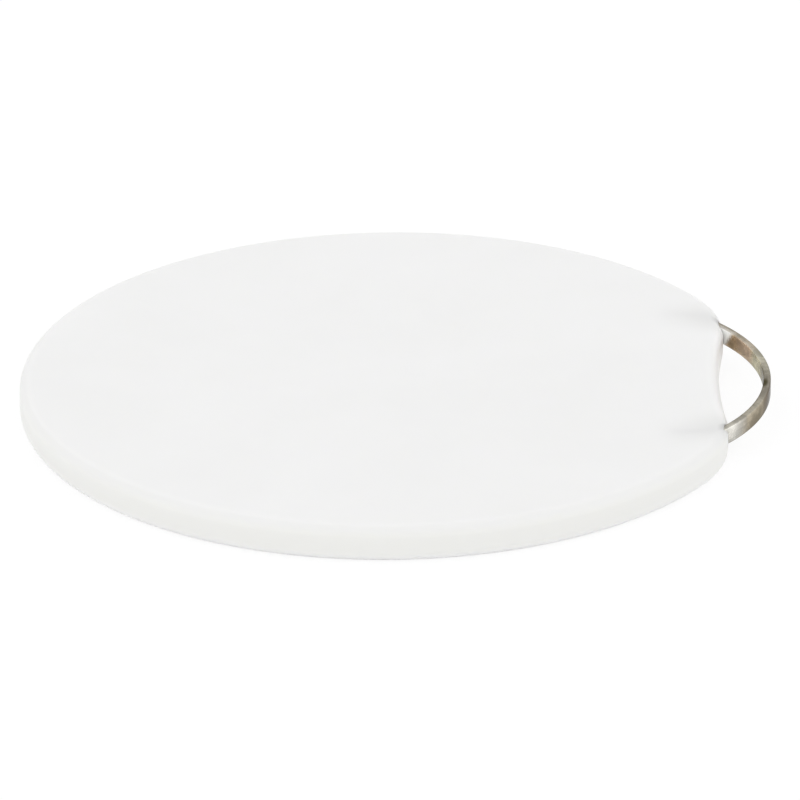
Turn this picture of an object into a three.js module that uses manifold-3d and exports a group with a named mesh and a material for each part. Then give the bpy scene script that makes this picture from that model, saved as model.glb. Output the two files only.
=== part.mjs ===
// Round plastic cutting board with a steel strip handle moulded into one side.
// Units are millimetres and +Z is up. The origin is the centre of the disc on its underside,
// and the handle points along +X.
import * as THREE from 'three';
import { mergeVertices } from 'three/addons/utils/BufferGeometryUtils.js';
import Module from 'manifold-3d';

// Slab: a thick disc with a shallow hollow cut across its handle side.
const SLAB_DIAMETER = 400;
const SLAB_THICKNESS = 20;
const EDGE_RADIUS = 6; // rounding between the faces and every side wall
const CUT_DEPTH = 22; // from the full circle in to the deepest point of the finger cut
const CUT_HOLLOW = 6.5; // how far the cut bows in from a straight line across the rim
const CORNER_RADIUS = 80; // plan rounding where the cut runs out into the rim

// Handle: one flat strip standing on edge, bowed outside the slab and bent twice inside it.
const STRIP_WIDTH = 10; // upright
const STRIP_THICKNESS = 4;
const STRIP_EDGE_RADIUS = 1.2;
const FINGER_GAP = 24; // clear space between the cut and the strip, on the middle line
const BOW_RADIUS = 107; // inside radius of the bow
const BEND_COVER = 2; // the bends start this far behind the deepest point of the cut
const BEND_RADIUS = 13; // inside radius of the bends
const TANG_LENGTH = 16; // straight end past each bend
const STRIP_COVER = 1.6; // plastic over the strip's top edge, up to the work face

// Cross pins: one through each tang keeps it from drawing out of the plastic.
const PIN_DIAMETER = 4;
const PIN_LENGTH = 16;
const PIN_CHAMFER = 0.5;
const PIN_SETBACK = 7; // from the tang's end to the pin's axis

const CLEARANCE = 0.3; // the plastic stands this far off the steel, and the pins off their holes

// Finish of the surfaces and fineness of the facets.
const FACET_ERROR = 0.06; // largest distance from a true arc to its facets
const PIN_SIDES = 24;
const WHITE_PLASTIC = { color: 0xf1f1f0, roughness: 0.5, metalness: 0 };
const POLISHED_STEEL = { color: 0xb4aea6, roughness: 0.22, metalness: 1 };

const wasm = await Module();
wasm.setup();

// How many straight facets an arc needs to stay within FACET_ERROR. The number is even, so that
// the arc's middle is a point of the outline.
function facetCount(radius, sweep) {
  const largestStep = 2 * Math.acos(1 - FACET_ERROR / radius);
  return 2 * Math.max(1, Math.ceil(Math.abs(sweep) / largestStep / 2));
}

// Points along an arc about (x, y), from one angle to another, clockwise when the second is smaller.
function arcPoints(x, y, radius, from, to) {
  const arc = new THREE.EllipseCurve(x, y, radius, radius, from, to, to < from);
  return arc.getPoints(facetCount(radius, to - from));
}

// An outline from several stretches of points, without the doubled points where they join.
function outline(stretches) {
  const points = stretches.flat();
  const kept = points.filter((point, i) => point.distanceTo(points.at(i - 1)) > 1e-4);
  return new THREE.Shape(kept);
}

// A plate of the given thickness, centred on z = 0, whose edges on both faces are rounded.
function roundedPlate(shape, thickness, edgeRadius) {
  const plate = new THREE.ExtrudeGeometry(shape, {
    depth: thickness - 2 * edgeRadius,
    bevelThickness: edgeRadius,
    bevelSize: edgeRadius,
    bevelOffset: -edgeRadius,
    bevelSegments: facetCount(edgeRadius, Math.PI / 2),
  });
  return plate.translate(0, 0, edgeRadius - thickness / 2);
}

// A plate with square edges, centred on z = 0.
function squarePlate(shape, thickness) {
  const plate = new THREE.ExtrudeGeometry(shape, { depth: thickness, bevelEnabled: false });
  return plate.translate(0, 0, -thickness / 2);
}

function toSolid(geometry) {
  const bare = geometry.clone();
  bare.deleteAttribute('normal');
  bare.deleteAttribute('uv');
  const merged = mergeVertices(bare);
  return new wasm.Manifold(new wasm.Mesh({
    numProp: 3,
    vertProperties: merged.attributes.position.array,
    triVerts: Uint32Array.from(merged.index.array),
  }));
}

function toGeometry(solid) {
  const { vertProperties, triVerts } = solid.getMesh();
  const geometry = new THREE.BufferGeometry();
  geometry.setAttribute('position', new THREE.BufferAttribute(vertProperties, 3));
  geometry.setIndex(new THREE.BufferAttribute(triVerts, 1));
  geometry.computeVertexNormals();
  return geometry;
}

function namedMesh(name, geometry, finish) {
  const mesh = new THREE.Mesh(geometry, new THREE.MeshStandardMaterial(finish));
  mesh.name = name;
  return mesh;
}

// Plan of the slab. The cut is an arc through its two corners, and each corner is rounded
// by a circle that touches both the rim and the cut.
const slabRadius = SLAB_DIAMETER / 2;
const cutBottomX = slabRadius - CUT_DEPTH;
const cornerX = cutBottomX + CUT_HOLLOW;
const cornerY = Math.sqrt(slabRadius ** 2 - cornerX ** 2);
const cutRadius = (cornerY ** 2 + CUT_HOLLOW ** 2) / (2 * CUT_HOLLOW);
const cutCentreX = cutBottomX + cutRadius;

function slabOutline() {
  const toRim = slabRadius - CORNER_RADIUS;
  const toCut = cutRadius + CORNER_RADIUS;
  const x = (toRim ** 2 - toCut ** 2 + cutCentreX ** 2) / (2 * cutCentreX);
  const y = Math.sqrt(toRim ** 2 - x ** 2);
  const rimAngle = Math.atan2(y, x);
  const cutAngle = Math.atan2(y, cutCentreX - x);
  return outline([
    arcPoints(0, 0, slabRadius, rimAngle, 2 * Math.PI - rimAngle),
    arcPoints(x, -y, CORNER_RADIUS, -rimAngle, cutAngle),
    arcPoints(cutCentreX, 0, cutRadius, Math.PI + cutAngle, Math.PI - cutAngle),
    arcPoints(x, y, CORNER_RADIUS, -cutAngle, rimAngle),
  ]);
}

// Plan of the strip, along its middle line. The bow meets each bend behind the wall of the cut,
// and past the bend the tang runs straight back along -X.
const bowRadius = BOW_RADIUS + STRIP_THICKNESS / 2;
const bendRadius = BEND_RADIUS + STRIP_THICKNESS / 2;
const bowCentreX = cutBottomX + FINGER_GAP - BOW_RADIUS;
const bendAngle = Math.acos((cutBottomX - BEND_COVER - bowCentreX) / bowRadius);
const bendCentreX = bowCentreX + (bowRadius - bendRadius) * Math.cos(bendAngle);
const bendCentreY = (bowRadius - bendRadius) * Math.sin(bendAngle);
const tangY = bendCentreY + bendRadius;
const tangEndX = bendCentreX - TANG_LENGTH;

// The strip's outline, thickened on every side by grow.
function stripOutline(grow) {
  const half = STRIP_THICKNESS / 2 + grow;
  const square = Math.PI / 2;
  const endX = tangEndX - grow;
  return outline([
    [new THREE.Vector2(endX, -tangY - half)],
    arcPoints(bendCentreX, -bendCentreY, bendRadius + half, -square, -bendAngle),
    arcPoints(bowCentreX, 0, bowRadius + half, -bendAngle, bendAngle),
    arcPoints(bendCentreX, bendCentreY, bendRadius + half, bendAngle, square),
    [new THREE.Vector2(endX, tangY + half)],
    [new THREE.Vector2(endX, tangY - half)],
    arcPoints(bendCentreX, bendCentreY, bendRadius - half, square, bendAngle),
    arcPoints(bowCentreX, 0, bowRadius - half, bendAngle, -bendAngle),
    arcPoints(bendCentreX, -bendCentreY, bendRadius - half, -bendAngle, -square),
    [new THREE.Vector2(endX, half - tangY)],
  ]);
}

// A cross pin along Y with chamfered ends, made larger on every side by grow.
function pinGeometry(grow) {
  const radius = PIN_DIAMETER / 2 + grow;
  const half = PIN_LENGTH / 2 + grow;
  const profile = [
    new THREE.Vector2(0, -half),
    new THREE.Vector2(radius - PIN_CHAMFER, -half),
    new THREE.Vector2(radius, PIN_CHAMFER - half),
    new THREE.Vector2(radius, half - PIN_CHAMFER),
    new THREE.Vector2(radius - PIN_CHAMFER, half),
    new THREE.Vector2(0, half),
  ];
  return new THREE.LatheGeometry(profile, PIN_SIDES);
}

const pinX = tangEndX + PIN_SETBACK;
const pinPlaces = { rear_cross_pin: tangY, front_cross_pin: -tangY };
const pinRoom = Object.values(pinPlaces)
  .map((y) => toSolid(pinGeometry(CLEARANCE).translate(pinX, y, 0)))
  .reduce((joined, room) => joined.add(room));

// The handle is one strip with a drilled hole in each tang, and a pin through each hole.
const stripHeight = SLAB_THICKNESS - STRIP_COVER - STRIP_WIDTH / 2;
const strip = toSolid(roundedPlate(stripOutline(0), STRIP_WIDTH, STRIP_EDGE_RADIUS));
const handle = new THREE.Group();
handle.position.z = stripHeight;
handle.add(namedMesh('strip_handle', toGeometry(strip.subtract(pinRoom)), POLISHED_STEEL));
for (const [name, y] of Object.entries(pinPlaces)) {
  const pin = namedMesh(name, toGeometry(toSolid(pinGeometry(0))), POLISHED_STEEL);
  pin.position.set(pinX, y, 0);
  handle.add(pin);
}

// The slab is moulded round both tangs and their pins.
const slabHeight = SLAB_THICKNESS / 2;
const disc = toSolid(roundedPlate(slabOutline(), SLAB_THICKNESS, EDGE_RADIUS));
const stripRoom = toSolid(squarePlate(stripOutline(CLEARANCE), STRIP_WIDTH + 2 * CLEARANCE));
const handleRoom = stripRoom.add(pinRoom).translate([0, 0, stripHeight - slabHeight]);
const slab = namedMesh('cutting_slab', toGeometry(disc.subtract(handleRoom)), WHITE_PLASTIC);
slab.position.z = slabHeight;

const cuttingBoard = new THREE.Group();
cuttingBoard.add(slab, handle);

export default cuttingBoard;
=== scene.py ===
import math

import bmesh
import bpy
from mathutils import Matrix, Vector


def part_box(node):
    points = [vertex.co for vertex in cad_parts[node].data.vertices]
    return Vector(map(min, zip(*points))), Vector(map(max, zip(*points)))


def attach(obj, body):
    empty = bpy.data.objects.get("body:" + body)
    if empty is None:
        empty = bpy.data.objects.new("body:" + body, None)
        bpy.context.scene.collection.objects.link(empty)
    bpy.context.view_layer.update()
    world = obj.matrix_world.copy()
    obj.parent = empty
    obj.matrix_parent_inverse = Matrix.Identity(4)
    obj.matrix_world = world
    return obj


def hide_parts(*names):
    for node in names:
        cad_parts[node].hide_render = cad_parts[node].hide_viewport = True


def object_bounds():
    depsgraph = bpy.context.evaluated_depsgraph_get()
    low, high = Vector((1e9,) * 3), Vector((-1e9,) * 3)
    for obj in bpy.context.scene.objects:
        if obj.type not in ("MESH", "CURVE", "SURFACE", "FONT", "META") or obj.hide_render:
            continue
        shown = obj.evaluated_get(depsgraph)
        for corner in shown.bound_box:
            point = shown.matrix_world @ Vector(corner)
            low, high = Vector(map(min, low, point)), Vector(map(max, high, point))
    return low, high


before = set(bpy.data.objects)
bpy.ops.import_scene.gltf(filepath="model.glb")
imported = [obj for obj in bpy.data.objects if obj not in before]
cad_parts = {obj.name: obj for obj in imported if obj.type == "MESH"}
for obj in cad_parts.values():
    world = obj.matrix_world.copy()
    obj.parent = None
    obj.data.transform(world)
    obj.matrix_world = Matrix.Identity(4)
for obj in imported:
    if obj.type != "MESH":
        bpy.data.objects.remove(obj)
cad_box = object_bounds()

# Camera
# It stands far off in front of the board, 24 degrees above the worktop, with the handle to the right.
# It is a touch to the right of the board's middle and below it, turned by a degree and leaning by half of it.
CAMERA_DISTANCE = 4.0
CAMERA_SIGHT = 100  # it sees no further than this
CAMERA_ELEVATION = math.radians(24.05)
CAMERA_TURN = math.radians(1.2)
CAMERA_LEAN = math.radians(0.5)
CAMERA_LENS = 332.6
CAMERA_SENSOR = 36
CAMERA_RIGHT = 0.0056
CAMERA_DOWN = 0.006

camera_data = bpy.data.cameras.new("camera")
camera_data.sensor_width = CAMERA_SENSOR
camera_data.lens = CAMERA_LENS
camera_data.clip_end = CAMERA_SIGHT
camera = bpy.data.objects.new("camera", camera_data)
bpy.context.scene.collection.objects.link(camera)
bpy.context.scene.camera = camera

board_middle = Matrix.Translation((0, 0, cad_box[1].z / 2))
turned = Matrix.Rotation(CAMERA_TURN, 4, "Z")
tilted = Matrix.Rotation(math.pi / 2 - CAMERA_ELEVATION, 4, "X")
leaning = Matrix.Rotation(-CAMERA_LEAN, 4, "Z")
stand = Matrix.Translation((CAMERA_RIGHT, -CAMERA_DOWN, CAMERA_DISTANCE))
camera.matrix_world = board_middle @ turned @ tilted @ leaning @ stand

# Strip handle
# One flat strip of stainless steel on edge, bowed outside the slab and bent at both ends inside it.
# It is rolled with eased edges, bent cold and polished along its length, and drilled for a pin in each tang.
STRIP_THICKNESS = 0.004
STRIP_EDGE_RADIUS = 0.0012
STRIP_EDGE_SEGMENTS = 5
STRIP_SHARP = math.radians(35)  # edges sharper than this aren't shaded round
BOW_RADIUS = 0.109  # along the middle of the strip
BEND_RADIUS = 0.015
BOW_STEPS = 96
BEND_STEPS = 16
PIN_SIDES = 48
MOULD_CLEARANCE = 0.0003  # the plastic stands this far off the steel, and the pins off their holes
DOUBLED = 1e-5  # points nearer than this are one point

strip_low, strip_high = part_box("strip_handle")
strip_z = (strip_low.z + strip_high.z) / 2
bow_x = strip_high.x - STRIP_THICKNESS / 2 - BOW_RADIUS
tang_y = strip_high.y - STRIP_THICKNESS / 2
bend_y = tang_y - BEND_RADIUS
bend_angle = math.asin(bend_y / (BOW_RADIUS - BEND_RADIUS))
bend_x = bow_x + (BOW_RADIUS - BEND_RADIUS) * math.cos(bend_angle)
pin_low, pin_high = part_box("rear_cross_pin")


def push_on(bm, face, way):
    """Draws a face out along a straight way, and returns the face at its end."""
    drawn = bmesh.ops.extrude_face_region(bm, geom=[face, *face.edges, *face.verts])["geom"]
    bmesh.ops.translate(bm, verts=[v for v in drawn if isinstance(v, bmesh.types.BMVert)], vec=way)
    return next(f for f in drawn if isinstance(f, bmesh.types.BMFace))


def swing_on(bm, face, centre, angle, steps):
    """Swings a face round an upright axis, and returns the face at its end."""
    geom = [face, *face.edges, *face.verts]
    swung = bmesh.ops.spin(bm, geom=geom, cent=centre, axis=(0, 0, 1), angle=angle, steps=steps)
    return next(f for f in swung["geom_last"] if isinstance(f, bmesh.types.BMFace))


def close_up(bm):
    """Merges doubled points, closes open ends and turns every face outwards."""
    bmesh.ops.remove_doubles(bm, verts=bm.verts[:], dist=DOUBLED)
    bmesh.ops.holes_fill(bm, edges=[e for e in bm.edges if e.is_boundary], sides=0)
    bmesh.ops.recalc_face_normals(bm, faces=bm.faces[:])


def bent_strip(grow):
    """The strip from its rear tang to its front one, larger by grow on every side.

    Only the steel itself, which doesn't grow, has eased edges.
    """
    bm = bmesh.new()
    section = Matrix.Diagonal((strip_high.z - strip_low.z + 2 * grow, STRIP_THICKNESS + 2 * grow, 1, 1))
    upright = Matrix.Rotation(math.pi / 2, 4, "Y")
    tang_end = Matrix.Translation((strip_low.x - grow, tang_y, strip_z))
    bmesh.ops.create_grid(bm, x_segments=1, y_segments=1, size=0.5, matrix=tang_end @ upright @ section)
    if grow == 0:
        bmesh.ops.bevel(
            bm, geom=bm.verts[:], offset=STRIP_EDGE_RADIUS, affect="VERTICES", segments=STRIP_EDGE_SEGMENTS,
            profile=0.5, material=-1,
        )
    tang = Vector((bend_x - strip_low.x + grow, 0, 0))
    bend_turn = math.pi / 2 - bend_angle
    face = push_on(bm, bm.faces[:][0], tang)
    face = swing_on(bm, face, (bend_x, bend_y, 0), -bend_turn, BEND_STEPS)
    face = swing_on(bm, face, (bow_x, 0, 0), -2 * bend_angle, BOW_STEPS)
    face = swing_on(bm, face, (bend_x, -bend_y, 0), -bend_turn, BEND_STEPS)
    push_on(bm, face, -tang)
    close_up(bm)
    return bm


def as_object(bm, name):
    """An object of the scene with the finished mesh, which uses the bmesh up."""
    mesh = bpy.data.meshes.new(name)
    bm.to_mesh(mesh)
    bm.free()
    made = bpy.data.objects.new(name, mesh)
    bpy.context.scene.collection.objects.link(made)
    return made


def pin_room(name, y):
    """The hole a cross pin needs, along Y."""
    bm = bmesh.new()
    radius = (pin_high.x - pin_low.x) / 2 + MOULD_CLEARANCE
    length = pin_high.y - pin_low.y + 2 * MOULD_CLEARANCE
    middle = Matrix.Translation(((pin_low.x + pin_high.x) / 2, y, strip_z))
    bmesh.ops.create_cone(
        bm, cap_ends=True, segments=PIN_SIDES, radius1=radius, radius2=radius, depth=length,
        matrix=middle @ Matrix.Rotation(math.pi / 2, 4, "X"),
    )
    return as_object(bm, name)


def cut_away(piece, cutters):
    """Cuts the shape of each cutter out of a piece, and removes the cutters."""
    for cutter in cutters:
        boolean = piece.modifiers.new(cutter.name, "BOOLEAN")
        boolean.object = cutter
        boolean.operation = "DIFFERENCE"
        boolean.solver = "EXACT"
    cut = piece.evaluated_get(bpy.context.evaluated_depsgraph_get())
    mesh = bpy.data.meshes.new_from_object(cut)
    piece.modifiers.clear()
    bm = bmesh.new()
    bm.from_mesh(mesh)
    bmesh.ops.remove_doubles(bm, verts=bm.verts[:], dist=DOUBLED)
    bm.to_mesh(mesh)
    bm.free()
    uncut = piece.data
    piece.data = mesh
    bpy.data.meshes.remove(uncut)
    mesh.name = piece.name
    for cutter in cutters:
        bpy.data.meshes.remove(cutter.data)


def shade_round(piece, sharpest):
    """Shades a piece smoothly, apart from edges sharper than an angle."""
    piece.data.shade_smooth()
    piece.data.set_sharp_from_angle(angle=sharpest)


strip = as_object(bent_strip(0), "bowed_strip")
cut_away(strip, [pin_room("rear_room", tang_y), pin_room("front_room", -tang_y)])
shade_round(strip, STRIP_SHARP)


def add_node(tree, kind, values=None, **settings):
    """A shader node with the values of its sockets, by name or number, or what is linked to them."""
    made = tree.nodes.new(kind)
    for name, value in settings.items():
        setattr(made, name, value)
    for socket, value in (values or {}).items():
        if isinstance(value, bpy.types.NodeSocket):
            tree.links.new(value, made.inputs[socket])
        else:
            made.inputs[socket].default_value = value
    return made


def calculate(tree, operation, *values):
    """The result of one sum on numbers or sockets."""
    return add_node(tree, "ShaderNodeMath", dict(enumerate(values)), operation=operation).outputs[0]


def multiply(tree, value, *others):
    """Several numbers or sockets multiplied together."""
    for other in others:
        value = calculate(tree, "MULTIPLY", value, other)
    return value


def distance(tree, x, y):
    """How far a level place is from the origin."""
    spot = add_node(tree, "ShaderNodeCombineXYZ", {"X": x, "Y": y}).outputs[0]
    return add_node(tree, "ShaderNodeVectorMath", {0: spot}, operation="LENGTH").outputs["Value"]


def bow_distance(tree, x, y):
    """How far a level place is from the centre of the bow."""
    return distance(tree, calculate(tree, "SUBTRACT", x, bow_x), y)


def mix_colours(tree, share, first, second):
    """The first colour where the share is 0, and the second where it is 1."""
    return add_node(tree, "ShaderNodeMix", {0: share, 6: first, 7: second}, data_type="RGBA").outputs[2]


def fit_range(tree, value, low, high, to_low=0, to_high=1, ease="SMOOTHSTEP"):
    """A value moved from one range to another and held inside it."""
    sockets = {"Value": value, "From Min": low, "From Max": high, "To Min": to_low, "To Max": to_high}
    return add_node(tree, "ShaderNodeMapRange", sockets, interpolation_type=ease).outputs["Result"]


def ramp(tree, value, stops):
    """A colour that runs through stops of place and colour."""
    made = add_node(tree, "ShaderNodeValToRGB", {"Fac": value})
    band = made.color_ramp
    while len(band.elements) < len(stops):
        band.elements.new(1)
    for element, (stop, colour) in zip(band.elements, stops):
        element.position = stop
        element.color = colour
    return made.outputs["Color"]


def noise(tree, place, scale, detail, roughness):
    """A random value between 0 and 1 that changes softly from place to place."""
    sockets = {"Vector": place, "Scale": scale, "Detail": detail, "Roughness": roughness}
    return add_node(tree, "ShaderNodeTexNoise", sockets).outputs["Fac"]


def vary(tree, noise_value, least, most, swing=0.2):
    """A noise spread between two values, which it reaches this far either side of a half."""
    return fit_range(tree, noise_value, 0.5 - swing, 0.5 + swing, least, most)


def place_on_piece(tree):
    """The place on the piece, in the shared frame."""
    return add_node(tree, "ShaderNodeTexCoord").outputs["Object"]


def split(tree, vector):
    """The X, Y and Z of a vector."""
    parts = add_node(tree, "ShaderNodeSeparateXYZ", {0: vector}).outputs
    return parts["X"], parts["Y"], parts["Z"]


def facing_up(tree):
    """1 where the surface faces up, 0 where it stands upright and -1 where it faces down."""
    return split(tree, add_node(tree, "ShaderNodeNewGeometry").outputs["Normal"])[2]


def add_relief(tree, shader, height, strength, depth):
    """Gives a shader a fine relief of this depth."""
    bump = add_node(tree, "ShaderNodeBump", {"Strength": strength, "Distance": depth, "Height": height})
    tree.links.new(bump.outputs["Normal"], shader.inputs["Normal"])


def new_material(name):
    """A material with one Principled shader, its node tree and that shader."""
    material = bpy.data.materials.new(name)
    material.use_nodes = True
    return material, material.node_tree, material.node_tree.nodes["Principled BSDF"]


def tool_lines():
    """Fine lines left by a belt, a die or a cutter, and soft patches.

    The lines are a noise that is drawn out along the tool's way.
    """
    tree = bpy.data.node_groups.new("tool_lines", "ShaderNodeTree")
    tree.interface.new_socket("Stretch", in_out="INPUT", socket_type="NodeSocketVector")
    tree.interface.new_socket("Lines", in_out="OUTPUT", socket_type="NodeSocketFloat")
    tree.interface.new_socket("Patches", in_out="OUTPUT", socket_type="NodeSocketFloat")
    given = add_node(tree, "NodeGroupInput").outputs
    place = place_on_piece(tree)
    drawn_out = add_node(
        tree, "ShaderNodeVectorMath", {0: place, 1: given["Stretch"]}, operation="MULTIPLY"
    ).outputs[0]
    lines = noise(tree, drawn_out, scale=1, detail=4, roughness=0.65)
    patches = noise(tree, place, scale=140, detail=3, roughness=0.6)
    add_node(tree, "NodeGroupOutput", {"Lines": lines, "Patches": patches})
    return tree


lines_group = tool_lines()

# The faces change colour along the strip, bright at the front root, then taupe, mauve, olive, green and tan,
# and brown near the rear root: partly stains, partly painted reflections of a darker surround. The inner side
# of the rear root is a painted reflection of the slab's white wall, a plain white. The level edges carry a
# darker painted reflection grey, and the front half painted shade towards its lower edge. One dark spot lies
# on the inner half of the top edge, just in front of the tip.
PALE_STEEL = (0.84, 0.82, 0.76, 1)
TAUPE_STEEL = (0.53, 0.47, 0.37, 1)
MAUVE_STEEL = (0.30, 0.243, 0.205, 1)
OLIVE_STEEL = (0.32, 0.29, 0.22, 1)
GREEN_STEEL = (0.86, 0.82, 0.64, 1)
TAN_STEEL = (0.75, 0.59, 0.45, 1)
BROWN_STEEL = (0.50, 0.375, 0.25, 1)
STAIN_AND_REFLECTION_COLOURS = [  # from the front tang, 0, to the rear one, 1
    (0.09, PALE_STEEL), (0.16, TAUPE_STEEL), (0.27, TAUPE_STEEL), (0.36, MAUVE_STEEL), (0.45, MAUVE_STEEL),
    (0.53, OLIVE_STEEL), (0.63, GREEN_STEEL), (0.69, GREEN_STEEL), (0.74, TAN_STEEL), (0.79, TAN_STEEL),
    (0.84, BROWN_STEEL),
]
COLOUR_WANDER = 0.03  # the borders between these colours wander by this much
MOTTLE_DARK = 0.8  # the colours along the strip are blotchy, between these two shares of their colour
MOTTLE_PALE = 1.14
MOTTLE_SWING = 0.14
LINE_DARK = 0.86  # the polishing lines lie between these two
LINE_PALE = 1.06
LOWER_SHADE = 0.25  # how much painted shade darkens the front half towards its lower edge
LOWER_SHADE_FADE = 0.02  # it fades out from this far in front of the tip to this far behind it
# The level top and bottom edges are painted a darker grey, a painted reflection.
EDGE_REFLECTION_GREY = (0.40, 0.38, 0.325, 1)
EDGE_SHARE = 0.75  # how much that painted grey covers the colours along the strip
EDGE_STARTS = 0.35  # how level the steel is where the painted edge grey starts, and where it is complete
EDGE_COMPLETE = 0.85
DARK_SPOT = (0.10, 0.09, 0.06, 1)
DARK_SPOT_Y = -0.0105
DARK_SPOT_IN = 0.0008  # it fades outwards from this far inside the middle of the strip
DARK_SPOT_HALF_LENGTH = 0.0095
DARK_SPOT_HALF_WIDTH = 0.0024
DARK_SPOT_CORE = 0.2  # this share of its size is wholly dark
# A painted reflection of the slab's white wall: plain white on the inner side of the rear root.
ROOT_REFLECTION_WHITE = (0.97, 0.97, 0.95, 1)
ROOT_REFLECTION_START_Y = 0.0565
ROOT_REFLECTION_FULL_Y = 0.0605
ROOT_REFLECTION_SLANT = 0.6  # its border runs forward this much for each length upwards
ROOT_REFLECTION_FADE = STRIP_THICKNESS / 4  # it fades out from this far inside the strip's middle to this far outside
FILM_TINT = (0.46, 0.45, 0.42, 1)  # the stains dull the glance of the steel at low angles
STRIP_LINES = (25, 25, 3200)  # how often the polishing lines change along X, Y and Z, to the metre
STRIP_LINE_STRENGTH = 0.25
STRIP_LINE_DEPTH = 0.00003
STRIP_SMOOTH = 0.14
STRIP_ROUGH = 0.3

strip_steel, tree, shader = new_material("polished_strip_steel")
x, y, z = split(tree, place_on_piece(tree))
marks = add_node(tree, "ShaderNodeGroup", {"Stretch": STRIP_LINES}, node_tree=lines_group).outputs
along = fit_range(tree, y, -tang_y, tang_y, ease="LINEAR")
wander = fit_range(tree, marks["Patches"], 0, 1, -COLOUR_WANDER, COLOUR_WANDER, ease="LINEAR")
# Stain colours and painted reflections, along the strip from the front tang to the rear one.
stain_and_reflection = ramp(tree, calculate(tree, "ADD", along, wander), STAIN_AND_REFLECTION_COLOURS)
levelness = calculate(tree, "ABSOLUTE", facing_up(tree))
# Where the steel lies level, a darker grey is painted in as a painted reflection.
edge = fit_range(tree, levelness, EDGE_STARTS, EDGE_COMPLETE, 0, EDGE_SHARE)
colour = mix_colours(tree, edge, stain_and_reflection, EDGE_REFLECTION_GREY)

# Painted shade darkens the front half towards its lower edge.
front_half = fit_range(tree, y, -LOWER_SHADE_FADE, LOWER_SHADE_FADE, 1, 0)
low_down = fit_range(tree, z, strip_low.z, strip_high.z, 1, 0, ease="LINEAR")
lower_shading = calculate(tree, "MULTIPLY_ADD", multiply(tree, front_half, low_down), -LOWER_SHADE, 1)
line_shade = vary(tree, marks["Lines"], LINE_DARK, LINE_PALE)
mottle = vary(tree, marks["Patches"], MOTTLE_DARK, MOTTLE_PALE, MOTTLE_SWING)
shade = multiply(tree, line_shade, lower_shading, mottle)
colour = add_node(tree, "ShaderNodeVectorMath", {0: colour, 1: shade}, operation="MULTIPLY").outputs[0]

reach = bow_distance(tree, x, y)
spot_reach = BOW_RADIUS - DARK_SPOT_IN
out_of_spot = fit_range(tree, reach, spot_reach, spot_reach + DARK_SPOT_HALF_WIDTH, ease="LINEAR")
along_spot = calculate(tree, "DIVIDE", calculate(tree, "SUBTRACT", y, DARK_SPOT_Y), DARK_SPOT_HALF_LENGTH)
off_spot = distance(tree, out_of_spot, along_spot)
colour = mix_colours(tree, fit_range(tree, off_spot, DARK_SPOT_CORE, 1, 1, 0), colour, DARK_SPOT)

# The painted reflection of the wall, with no metal where it lies.
slanted_y = calculate(tree, "MULTIPLY_ADD", z, ROOT_REFLECTION_SLANT, y)
slant = ROOT_REFLECTION_SLANT * strip_z
root_reflection_along = fit_range(tree, slanted_y, ROOT_REFLECTION_START_Y + slant, ROOT_REFLECTION_FULL_Y + slant)
off_edge = calculate(tree, "SUBTRACT", 1, edge)
inner_side = fit_range(tree, reach, BOW_RADIUS - ROOT_REFLECTION_FADE, BOW_RADIUS + ROOT_REFLECTION_FADE, 1, 0)
root_reflection = multiply(tree, root_reflection_along, off_edge, inner_side)
colour = mix_colours(tree, root_reflection, colour, ROOT_REFLECTION_WHITE)

tree.links.new(colour, shader.inputs["Base Color"])
tree.links.new(calculate(tree, "SUBTRACT", 1, root_reflection), shader.inputs["Metallic"])
tree.links.new(vary(tree, marks["Patches"], STRIP_SMOOTH, STRIP_ROUGH), shader.inputs["Roughness"])
add_relief(tree, shader, marks["Lines"], STRIP_LINE_STRENGTH, STRIP_LINE_DEPTH)
shader.inputs["Specular Tint"].default_value = FILM_TINT
strip.data.materials.append(strip_steel)

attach(strip, "root")
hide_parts("strip_handle")

# Cross pins
# A short drawn steel rod with chamfered ends goes through each tang, so that the tang can't draw out.
# The plastic closes round both pins, and their solids are kept as they are.
PIN_STEEL_BRIGHT = (0.6, 0.6, 0.59, 1)
PIN_STEEL_DULL = (0.42, 0.42, 0.41, 1)
PIN_SHADES = [(0.35, PIN_STEEL_DULL), (0.65, PIN_STEEL_BRIGHT)]
PIN_LINES = (4000, 60, 4000)  # the pins are drawn along Y
PIN_SMOOTH = 0.3
PIN_ROUGH = 0.45

pin_steel, tree, shader = new_material("drawn_pin_steel")
marks = add_node(tree, "ShaderNodeGroup", {"Stretch": PIN_LINES}, node_tree=lines_group).outputs
tree.links.new(ramp(tree, marks["Lines"], PIN_SHADES), shader.inputs["Base Color"])
tree.links.new(vary(tree, marks["Patches"], PIN_SMOOTH, PIN_ROUGH), shader.inputs["Roughness"])
shader.inputs["Metallic"].default_value = 1
for node_name in ("rear_cross_pin", "front_cross_pin"):
    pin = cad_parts[node_name]
    pin.data.materials.clear()
    pin.data.materials.append(pin_steel)

# Slab
# A thick disc of white polyethylene, moulded round the tangs of the handle and both pins.
# Its rim and the shallow finger cut on the handle side are milled with one rounding on all edges.
EDGE_RADIUS = 0.006
EDGE_SEGMENTS = 12
CUT_DEPTH = 0.022  # from the full circle in to the deepest point of the cut
CUT_HOLLOW = 0.0065  # how far the cut bows in from a straight line
CORNER_RADIUS = 0.08
RIM_STEPS = 360
CORNER_STEPS = 24
CUT_STEPS = 72
FACE_BORDER = 0.002  # a narrow ring inside each face's border keeps its shading flat
SAME_HEIGHT = 1e-6  # the ends of a level edge differ by less
SLAB_SHARP = math.radians(30)

slab_low, slab_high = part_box("cutting_slab")
slab_radius = slab_high.y
slab_thickness = slab_high.z - slab_low.z
cut_x = slab_radius - CUT_DEPTH
corner_y = math.sqrt(slab_radius**2 - (cut_x + CUT_HOLLOW) ** 2)
cut_radius = (corner_y**2 + CUT_HOLLOW**2) / (2 * CUT_HOLLOW)
cut_centre_x = cut_x + cut_radius

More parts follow.
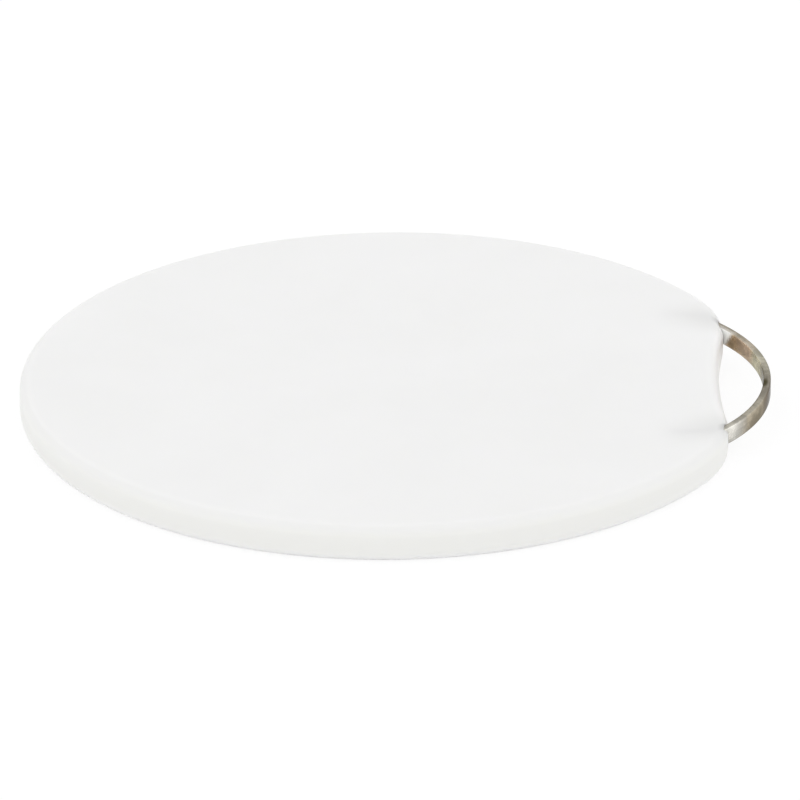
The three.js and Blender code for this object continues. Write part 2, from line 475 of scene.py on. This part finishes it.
# Each corner's rounding touches the rim from inside and the cut from outside.
to_rim = slab_radius - CORNER_RADIUS
to_cut = cut_radius + CORNER_RADIUS
rounding_x = (to_rim**2 - to_cut**2 + cut_centre_x**2) / (2 * cut_centre_x)
rounding_y = math.sqrt(to_rim**2 - rounding_x**2)
rim_angle = math.atan2(rounding_y, rounding_x)
cut_angle = math.atan2(rounding_y, cut_centre_x - rounding_x)


def draw_arc(bm, pen, centre, angle, steps):
    """Swings a point round a centre, which draws an arc of edges, and returns the point at its end."""
    drawn = bmesh.ops.spin(bm, geom=[pen], cent=(*centre, 0), axis=(0, 0, 1), angle=angle, steps=steps)
    return drawn["geom_last"][0]


bm = bmesh.new()
pen = bm.verts.new((slab_radius * math.cos(rim_angle), slab_radius * math.sin(rim_angle), slab_low.z))
pen = draw_arc(bm, pen, (0, 0), 2 * (math.pi - rim_angle), RIM_STEPS)
pen = draw_arc(bm, pen, (rounding_x, -rounding_y), rim_angle + cut_angle, CORNER_STEPS)
pen = draw_arc(bm, pen, (cut_centre_x, 0), -2 * cut_angle, CUT_STEPS)
draw_arc(bm, pen, (rounding_x, rounding_y), rim_angle + cut_angle, CORNER_STEPS)
bmesh.ops.remove_doubles(bm, verts=bm.verts[:], dist=DOUBLED)
bmesh.ops.contextual_create(bm, geom=bm.edges[:])
push_on(bm, bm.faces[:][0], (0, 0, slab_thickness))
close_up(bm)
level_edges = [e for e in bm.edges if abs(e.verts[0].co.z - e.verts[1].co.z) < SAME_HEIGHT]
bmesh.ops.bevel(
    bm, geom=level_edges, offset=EDGE_RADIUS, affect="EDGES", segments=EDGE_SEGMENTS, profile=0.5, material=-1
)
flat_faces = [f for f in bm.faces if len(f.verts) > 4]
bmesh.ops.inset_region(bm, faces=flat_faces, thickness=FACE_BORDER, use_even_offset=True)
slab = as_object(bm, "moulded_slab")
strip_room = as_object(bent_strip(MOULD_CLEARANCE), "strip_room")
cut_away(slab, [strip_room, pin_room("rear_room", tang_y), pin_room("front_room", -tang_y)])
shade_round(slab, SLAB_SHARP)

# Both faces are faintly clouded, and the rim is a little warmer. The upper rounding is painted a little
# darker as painted shade, and the lower rounding and the wall of the cut are painted whiter as painted light.
WHITE_FACE = (0.882, 0.882, 0.88, 1)
WHITE_CLOUD = (0.868, 0.868, 0.864, 1)
PAINTED_SHADE_ROUNDING = (0.856, 0.856, 0.849, 1)
WHITE_RIM = (0.882, 0.882, 0.86, 1)
PAINTED_LIGHT_UNDER = (0.94, 0.94, 0.935, 1)
PAINTED_LIGHT_CUT = (0.94, 0.94, 0.93, 1)
FACE_SHADES = [(0.3, WHITE_FACE), (0.7, WHITE_CLOUD)]
FACING_SHADES = [  # from facing down, 0, to facing up, 1
    (0.2, PAINTED_LIGHT_UNDER), (0.45, WHITE_RIM), (0.62, WHITE_RIM), (0.85, PAINTED_SHADE_ROUNDING),
]
FACE_STARTS = 0.85  # how level the surface is where the milled edge gives way to the face
CUT_LIGHT_Y = 0.062  # the wall of the cut is painted lighter up to here on both sides, and fades to the rim's white
CUT_END_Y = 0.075

polyethylene, tree, shader = new_material("white_polyethylene")
place = place_on_piece(tree)
x, y, z = split(tree, place)
aside = calculate(tree, "ABSOLUTE", y)
upwards = facing_up(tree)
levelness = calculate(tree, "ABSOLUTE", upwards)
face_colour = ramp(tree, noise(tree, place, scale=14, detail=3, roughness=0.55), FACE_SHADES)
# Painted shade on the upper rounding and painted light on the lower one, following the way the surface faces.
facing_colour = ramp(tree, fit_range(tree, upwards, -1, 1, ease="LINEAR"), FACING_SHADES)
# The wall of the cut is painted whiter near the handle, as painted light.
beside_cut = fit_range(tree, aside, CUT_LIGHT_Y, CUT_END_Y, 1, 0)
into_cut = fit_range(tree, x, cut_x - EDGE_RADIUS, cut_x)
facing_colour = mix_colours(tree, multiply(tree, beside_cut, into_cut), facing_colour, PAINTED_LIGHT_CUT)
colour = mix_colours(tree, fit_range(tree, levelness, FACE_STARTS, 1), facing_colour, face_colour)

# The steel shows through the plastic as a soft shade over each tang, stronger towards the cut.
TANG_SHADE = (0.788, 0.788, 0.78, 1)
TANG_SHADE_INNER_X = 0.140
TANG_SHADE_OUTER_X = 0.178
TANG_SHADE_Y = 0.0715  # middle of the shade at the cut
TANG_SHADE_SPREAD = 0.25  # it runs outwards this much for each length inwards
TANG_SHADE_WIDTH = 0.026  # from its middle to where it ends

inward = calculate(tree, "SUBTRACT", TANG_SHADE_OUTER_X, x)
shade_middle = calculate(tree, "MULTIPLY_ADD", inward, TANG_SHADE_SPREAD, TANG_SHADE_Y)
off_middle = calculate(tree, "ABSOLUTE", calculate(tree, "SUBTRACT", aside, shade_middle))
across = fit_range(tree, off_middle, 0, TANG_SHADE_WIDTH, 1, 0)
outwards = fit_range(tree, x, TANG_SHADE_INNER_X, TANG_SHADE_OUTER_X)
near_top = fit_range(tree, z, strip_z, strip_high.z)
colour = mix_colours(tree, multiply(tree, across, outwards, near_top), colour, TANG_SHADE)

# On the rounding just above the strip the plastic is thinnest, and the steel shows as a grey line.
THIN_COVER = (0.66, 0.66, 0.65, 1)
THIN_COVER_INNER_X = 0.1748
THIN_COVER_OUTER_X = 0.1785
THIN_COVER_CORE = STRIP_THICKNESS / 4  # the line is full this far from the middle of the strip
THIN_COVER_END = STRIP_THICKNESS * 0.8  # and gone this far from it

off_bow = calculate(tree, "SUBTRACT", bow_distance(tree, x, y), BOW_RADIUS)
above_strip = fit_range(tree, calculate(tree, "ABSOLUTE", off_bow), THIN_COVER_CORE, THIN_COVER_END, 1, 0)
at_root = fit_range(tree, x, THIN_COVER_INNER_X, THIN_COVER_OUTER_X)
colour = mix_colours(tree, multiply(tree, above_strip, at_root, near_top), colour, THIN_COVER)
tree.links.new(colour, shader.inputs["Base Color"])

# A fine moulded grain lies on the faces, and the cutter leaves lines round the rim. The gloss is satin and
# patchy, and light goes a little way into the plastic.
SLAB_LINES = (12, 12, 2600)  # the cutter goes round level
RIM_FULL = 0.15  # how level the surface is where the cutter's lines are full, and where they end
RIM_ENDS = 0.9
SLAB_RELIEF_STRENGTH = 0.3
SLAB_RELIEF_DEPTH = 0.00006
SLAB_SMOOTH = 0.4
SLAB_ROUGH = 0.52
LIGHT_INSIDE = 0.7  # share of the light that comes back from inside
LIGHT_DEPTH = 0.003
LIGHT_DEPTH_COLOURS = (1, 1, 0.95)


def mix_values(tree, share, first, second):
    """The first value where the share is 0, and the second where it is 1."""
    return add_node(tree, "ShaderNodeMix", {0: share, 2: first, 3: second}).outputs[0]


grain = noise(tree, place, scale=900, detail=3, roughness=0.6)
marks = add_node(tree, "ShaderNodeGroup", {"Stretch": SLAB_LINES}, node_tree=lines_group).outputs
on_rim = fit_range(tree, levelness, RIM_FULL, RIM_ENDS, 1, 0)
relief = mix_values(tree, on_rim, grain, marks["Lines"])
add_relief(tree, shader, relief, SLAB_RELIEF_STRENGTH, SLAB_RELIEF_DEPTH)
gloss = noise(tree, place, scale=30, detail=4, roughness=0.6)
tree.links.new(vary(tree, gloss, SLAB_SMOOTH, SLAB_ROUGH), shader.inputs["Roughness"])
shader.inputs["Subsurface Weight"].default_value = LIGHT_INSIDE
shader.inputs["Subsurface Radius"].default_value = LIGHT_DEPTH_COLOURS
shader.inputs["Subsurface Scale"].default_value = LIGHT_DEPTH
slab.data.materials.append(polyethylene)

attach(slab, "root")
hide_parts("cutting_slab")

# Floor and light
# A wide white floor lies in a white surround, which gives less light near the horizon than overhead.
# Both are seen as plain white, with the board's shadow on the floor. Two broad soft lamps stand in front,
# to the left and to the right.
FLOOR_RADIUS = 30
FLOOR_SIDES = 96
FLOOR_BOUNCE = 0.95  # share of the light that the floor gives back to the board
FLOOR_SHADOW = 0.15  # the same share as it is seen, where the rest is even white
FLOOR_WHITE = 0.865  # that even white
SURROUND_LIGHT = 0.925  # overhead
HORIZON_LIGHT = 0.7
OVERHEAD = math.sin(math.radians(37))  # the surround has its full light from this height up
LAMP_SPREAD = math.radians(80)
LAMPS = [  # name, height, turn to the right from straight in front, strength
    ("left_lamp", math.radians(40), math.radians(-60), 0.3),
    ("right_lamp", math.radians(25), math.radians(70), 0.3),
]

bm = bmesh.new()
bmesh.ops.create_circle(bm, cap_ends=True, segments=FLOOR_SIDES, radius=FLOOR_RADIUS)
floor = as_object(bm, "floor")


def when_seen(tree, value, otherwise):
    """One value where it is seen, also mirrored or through glass, and another where it only gives light."""
    path = add_node(tree, "ShaderNodeLightPath").outputs
    mirrored = calculate(tree, "MAXIMUM", path["Is Glossy Ray"], path["Is Transmission Ray"])
    seen = calculate(tree, "MAXIMUM", path["Is Camera Ray"], mirrored)
    return mix_values(tree, seen, otherwise, value)


floor_white = bpy.data.materials.new("floor_white")
floor_white.use_nodes = True
tree = floor_white.node_tree
tree.nodes.clear()
matt = add_node(tree, "ShaderNodeBsdfDiffuse", {"Color": when_seen(tree, FLOOR_SHADOW, FLOOR_BOUNCE)})
glow = add_node(tree, "ShaderNodeEmission", {"Strength": when_seen(tree, FLOOR_WHITE, 0)})
both = add_node(tree, "ShaderNodeAddShader", {0: matt.outputs[0], 1: glow.outputs[0]})
add_node(tree, "ShaderNodeOutputMaterial", {"Surface": both.outputs[0]})
floor.data.materials.append(floor_white)

world = bpy.data.worlds.new("surround")
world.use_nodes = True
bpy.context.scene.world = world
tree = world.node_tree
tree.nodes.clear()
direction = add_node(tree, "ShaderNodeTexCoord").outputs["Generated"]
skyward = split(tree, direction)[2]
given_light = fit_range(tree, skyward, 0, OVERHEAD, HORIZON_LIGHT, SURROUND_LIGHT)
sky = {"Color": (1, 1, 1, 1), "Strength": when_seen(tree, 1, given_light)}
surround = add_node(tree, "ShaderNodeBackground", sky)
add_node(tree, "ShaderNodeOutputWorld", {"Surface": surround.outputs[0]})

for lamp_name, lamp_height, lamp_turn, lamp_strength in LAMPS:
    lamp_data = bpy.data.lights.new(lamp_name, "SUN")
    lamp_data.energy = lamp_strength
    lamp_data.angle = LAMP_SPREAD
    lamp = bpy.data.objects.new(lamp_name, lamp_data)
    along_floor = Vector((math.sin(lamp_turn), -math.cos(lamp_turn), 0))
    to_lamp = along_floor * math.cos(lamp_height) + Vector((0, 0, math.sin(lamp_height)))
    lamp.rotation_euler = to_lamp.to_track_quat("Z", "Y").to_euler()
    bpy.context.scene.collection.objects.link(lamp)

bpy.context.scene.view_settings.view_transform = "Standard"
